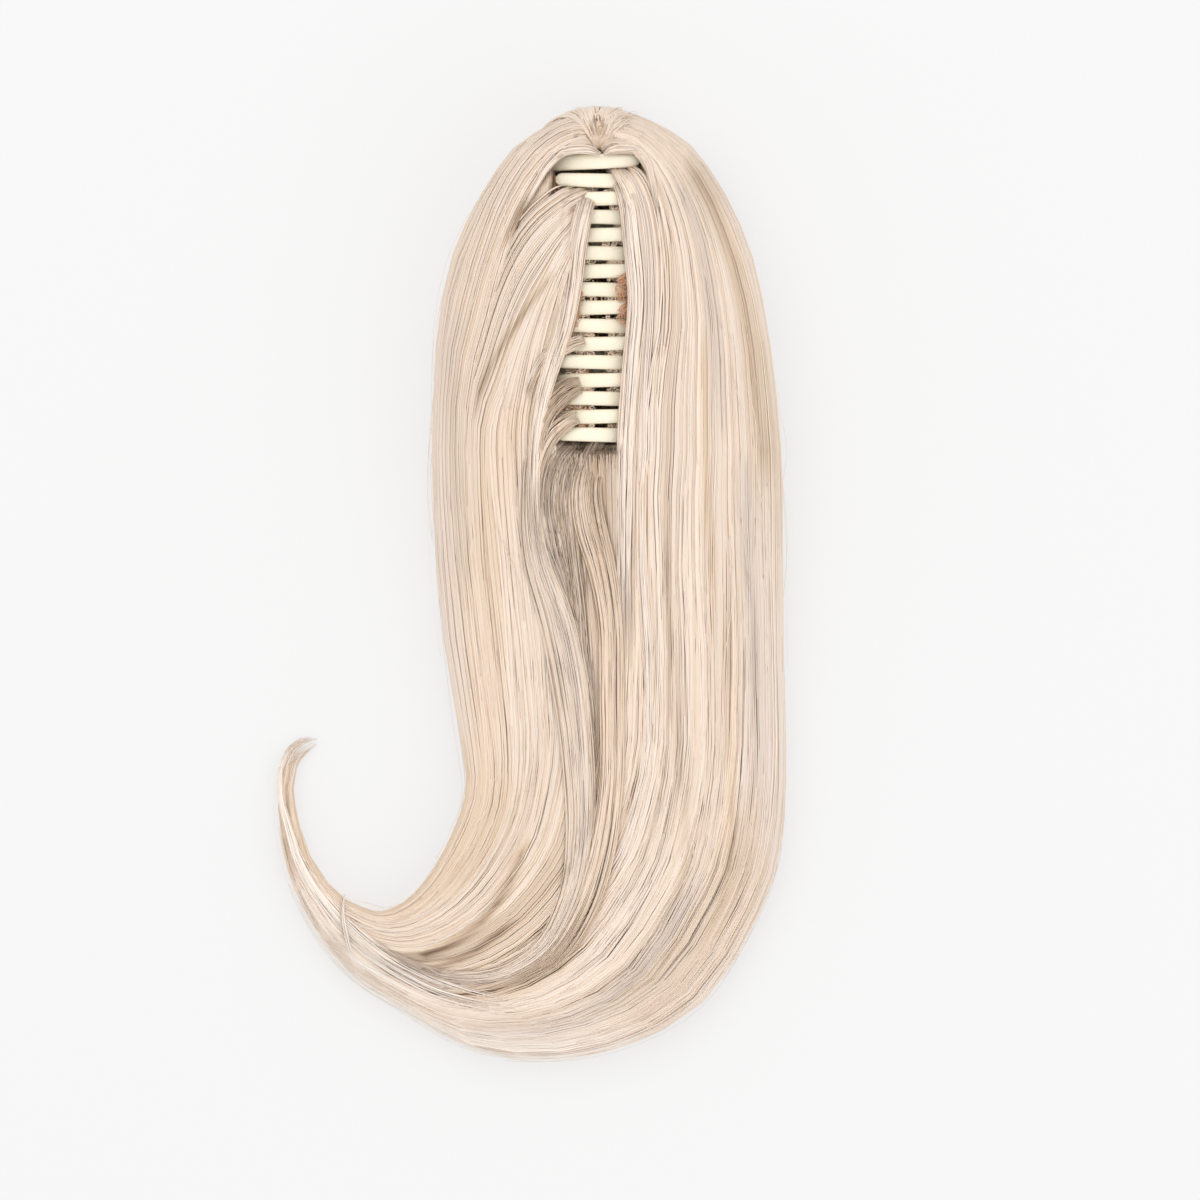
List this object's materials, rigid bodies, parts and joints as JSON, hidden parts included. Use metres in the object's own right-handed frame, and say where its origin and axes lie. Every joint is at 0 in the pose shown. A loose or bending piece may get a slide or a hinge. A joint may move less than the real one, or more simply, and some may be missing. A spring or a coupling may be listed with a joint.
{
  "type": "ponytail hairpiece on a claw clip",
  "caption": "Long swept ponytail of ash-blonde hair on a hinged, toothed claw clip, lying on its back with the claw upwards.",
  "frame": {"origin": "on the surface that the hair lies on, under the middle of the bounding box", "axes": "+Z away from the surface, out of the claw's teeth; +Y along the claw's pin towards the crown end; +X to the right as one looks down on the teeth"},
  "size_m": [0.1969, 0.3682, 0.0691],
  "materials": {
    "ivory_plastic": "smooth ivory",
    "pin_steel": "bright, warm tinted",
    "peach_net": "fine open net",
    "ash_blonde_hair": "glossy mixed blonde strands"
  },
  "bodies": {
    "hairpiece": {"hinge_pin": "pin_steel", "spring": "pin_steel", "left_hair": "ash_blonde_hair", "right_hair": "ash_blonde_hair"},
    "left_side": {"left_jaw": "ivory_plastic", "left_net": "peach_net"},
    "right_side": {"right_jaw": "ivory_plastic", "right_net": "peach_net"}
  },
  "joints": [
    {"name": "left_jaw_hinge", "type": "hinge", "parent": "hairpiece", "child": "left_side", "pos_m": [0.0253, 0.1099, 0.031], "axis": [0, -1, 0], "range_deg": [0, 42], "stiffness_Nm_per_rad": 0.15, "springref_deg": -45.84},
    {"name": "right_jaw_hinge", "type": "hinge", "parent": "hairpiece", "child": "right_side", "pos_m": [0.0253, 0.1099, 0.031], "axis": [0, 1, 0], "range_deg": [0, 42], "stiffness_Nm_per_rad": 0.15, "springref_deg": -45.84}
  ],
  "couplings": [
    {"joint": "right_jaw_hinge", "follows": "left_jaw_hinge", "ratio": 1}
  ]
}
